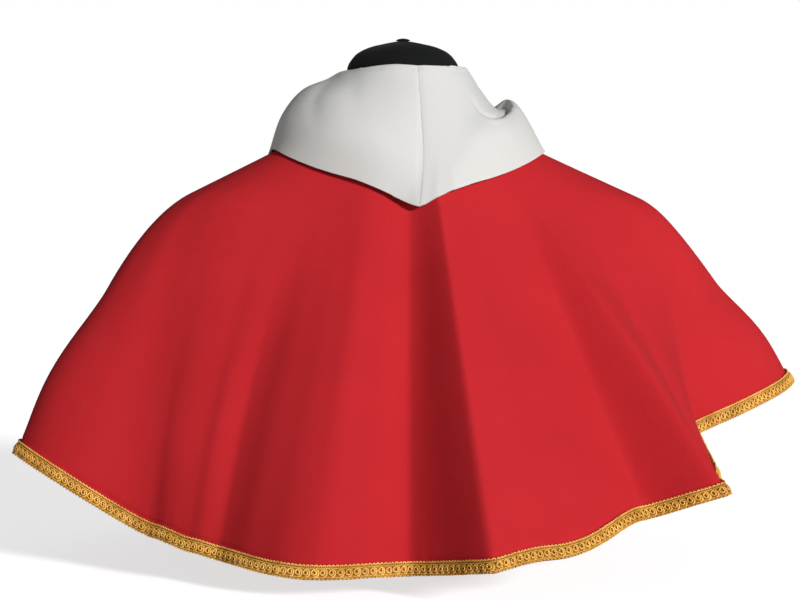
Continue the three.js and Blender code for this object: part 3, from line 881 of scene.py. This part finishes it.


# %% Gold viscose, a darker copy of it as painted shade between the cords, and black plastic
def gold_material(name, dark, light, rough):
    material, nodes, links, shader = new_material(name)
    shader.inputs["Roughness"].default_value = rough
    shader.inputs["Specular IOR Level"].default_value = 0.4
    place = nodes.new("ShaderNodeTexCoord")
    threads = nodes.new("ShaderNodeTexNoise")
    threads.inputs["Scale"].default_value = 1500
    threads.inputs["Detail"].default_value = 2
    links.new(place.outputs["Object"], threads.inputs["Vector"])
    tone = nodes.new("ShaderNodeTexNoise")
    tone.inputs["Scale"].default_value = 55
    links.new(place.outputs["Object"], tone.inputs["Vector"])
    both = nodes.new("ShaderNodeMath")
    both.operation = "MULTIPLY_ADD"
    both.inputs[1].default_value = 0.5
    links.new(threads.outputs["Fac"], both.inputs[0])
    links.new(tone.outputs["Fac"], both.inputs[2])
    ramp = nodes.new("ShaderNodeValToRGB")
    ramp.color_ramp.elements[0].position, ramp.color_ramp.elements[0].color = 0.5, (*dark, 1)
    ramp.color_ramp.elements[1].position, ramp.color_ramp.elements[1].color = 0.95, (*light, 1)
    links.new(both.outputs[0], ramp.inputs["Fac"])
    links.new(ramp.outputs["Color"], shader.inputs["Base Color"])
    raise_by(nodes, links, threads.outputs["Fac"], 0.5, 0.0002)
    return material


def plastic_material():
    material, nodes, links, shader = new_material("black moulding")
    shader.inputs["Base Color"].default_value = (0.012, 0.013, 0.013, 1)
    place = nodes.new("ShaderNodeTexCoord")
    grain = nodes.new("ShaderNodeTexNoise")
    grain.inputs["Scale"].default_value = 420
    links.new(place.outputs["Object"], grain.inputs["Vector"])
    rough = nodes.new("ShaderNodeMapRange")
    rough.inputs["To Min"].default_value = 0.42
    rough.inputs["To Max"].default_value = 0.62
    links.new(grain.outputs["Fac"], rough.inputs["Value"])
    links.new(rough.outputs["Result"], shader.inputs["Roughness"])
    raise_by(nodes, links, grain.outputs["Fac"], 0.2, 0.0001)
    return material


gold = gold_material("gold viscose cord", (0.62, 0.295, 0.036), (0.95, 0.55, 0.125), 0.42)
# A darker copy of the cord gold for the band: painted shade in the hollows between the cords.
painted_shade_gold = gold_material("gold band painted shade", (0.26, 0.105, 0.010), (0.46, 0.205, 0.024), 0.75)
plastic = plastic_material()
for obj in braids.values():
    obj.data.materials.append(gold)
    obj.data.materials.append(painted_shade_gold)
dress(nub, jersey)
dress(base, plastic)

# %% [markdown]
# ## The studio
# The cape stands on pale paper in a white surround. One distant lamp, to the right and a little
# above, gives the folds their shape, and the surround fills the shadows, most at eye height.

# %% Floor, lights and world
bm = bmesh.new()
bmesh.ops.create_grid(bm, x_segments=1, y_segments=1, size=12)
floor = as_object("floor", bm)
WHITE = 1.0  # how bright the surround looks


def paper_material():
    """Pale paper, lit a little from below as a light table is, as far as the eye can tell."""
    material, nodes, links, shader = new_material("white paper")
    shader.inputs["Base Color"].default_value = (0.9, 0.9, 0.9, 1)
    shader.inputs["Roughness"].default_value = 0.9
    shader.inputs["Emission Color"].default_value = (1, 1, 1, 1)
    ray = nodes.new("ShaderNodeLightPath")
    glow = nodes.new("ShaderNodeMath")
    glow.operation = "MULTIPLY"
    glow.inputs[1].default_value = 0.68
    links.new(ray.outputs["Is Camera Ray"], glow.inputs[0])
    links.new(glow.outputs[0], shader.inputs["Emission Strength"])
    return material


dress(floor, paper_material())

AZIMUTH, ELEVATION = math.radians(-10), math.radians(3)
rightward = Vector((math.cos(AZIMUTH), math.sin(AZIMUTH), 0))


def way_to(turn, rise):
    """The direction at an angle round the cape from its back, and an angle up."""
    return Vector((math.sin(turn) * math.cos(rise), -math.cos(turn) * math.cos(rise), math.sin(rise)))


toward = way_to(AZIMUTH, ELEVATION)


def sun(name, azimuth, elevation, power, softness):
    """A distant lamp, placed by its angles from the way to the camera."""
    data = bpy.data.lights.new(name, "SUN")
    data.energy, data.angle = power, math.radians(softness)
    obj = bpy.data.objects.new(name, data)
    way = way_to(AZIMUTH + math.radians(azimuth), math.radians(elevation))
    obj.location = way * 3
    obj.rotation_euler = way.to_track_quat("Z", "Y").to_euler()
    bpy.context.collection.objects.link(obj)


sun("key", 35, 17, 3.25, 9)


def surround():
    """White to look at, and as a light bright only at the height of the eye, like a lit white wall."""
    world = bpy.data.worlds.new("surround")
    world.use_nodes = True
    nodes, links = world.node_tree.nodes, world.node_tree.links
    way = nodes.new("ShaderNodeTexCoord")
    split = nodes.new("ShaderNodeSeparateXYZ")
    links.new(way.outputs["Generated"], split.inputs["Vector"])
    height = nodes.new("ShaderNodeMapRange")
    height.interpolation_type = "SMOOTHSTEP"
    height.inputs["From Min"].default_value, height.inputs["From Max"].default_value = 0.05, 0.26
    height.inputs["To Min"].default_value, height.inputs["To Max"].default_value = 0.78, 0.10
    links.new(split.outputs["Z"], height.inputs["Value"])
    ray = nodes.new("ShaderNodeLightPath")
    seen = nodes.new("ShaderNodeMix")
    seen.inputs["B"].default_value = WHITE
    links.new(ray.outputs["Is Camera Ray"], seen.inputs["Factor"])
    links.new(height.outputs["Result"], seen.inputs["A"])
    links.new(seen.outputs["Result"], nodes["Background"].inputs["Strength"])
    nodes["Background"].inputs["Color"].default_value = (1, 1, 1, 1)
    return world


bpy.context.scene.world = surround()
bpy.context.scene.view_settings.view_transform = "Standard"

# %% The camera
DISTANCE, LENS = 2.6, 117.0
aim = Vector((0, 0, 0.257)) - rightward * 0.003
camera_data = bpy.data.cameras.new("camera")
camera_data.lens, camera_data.sensor_width = LENS, 36
camera = bpy.data.objects.new("camera", camera_data)
camera.location = aim + toward * DISTANCE
camera.rotation_euler = (-toward).to_track_quat("-Z", "Y").to_euler()
bpy.context.collection.objects.link(camera)
bpy.context.scene.camera = camera
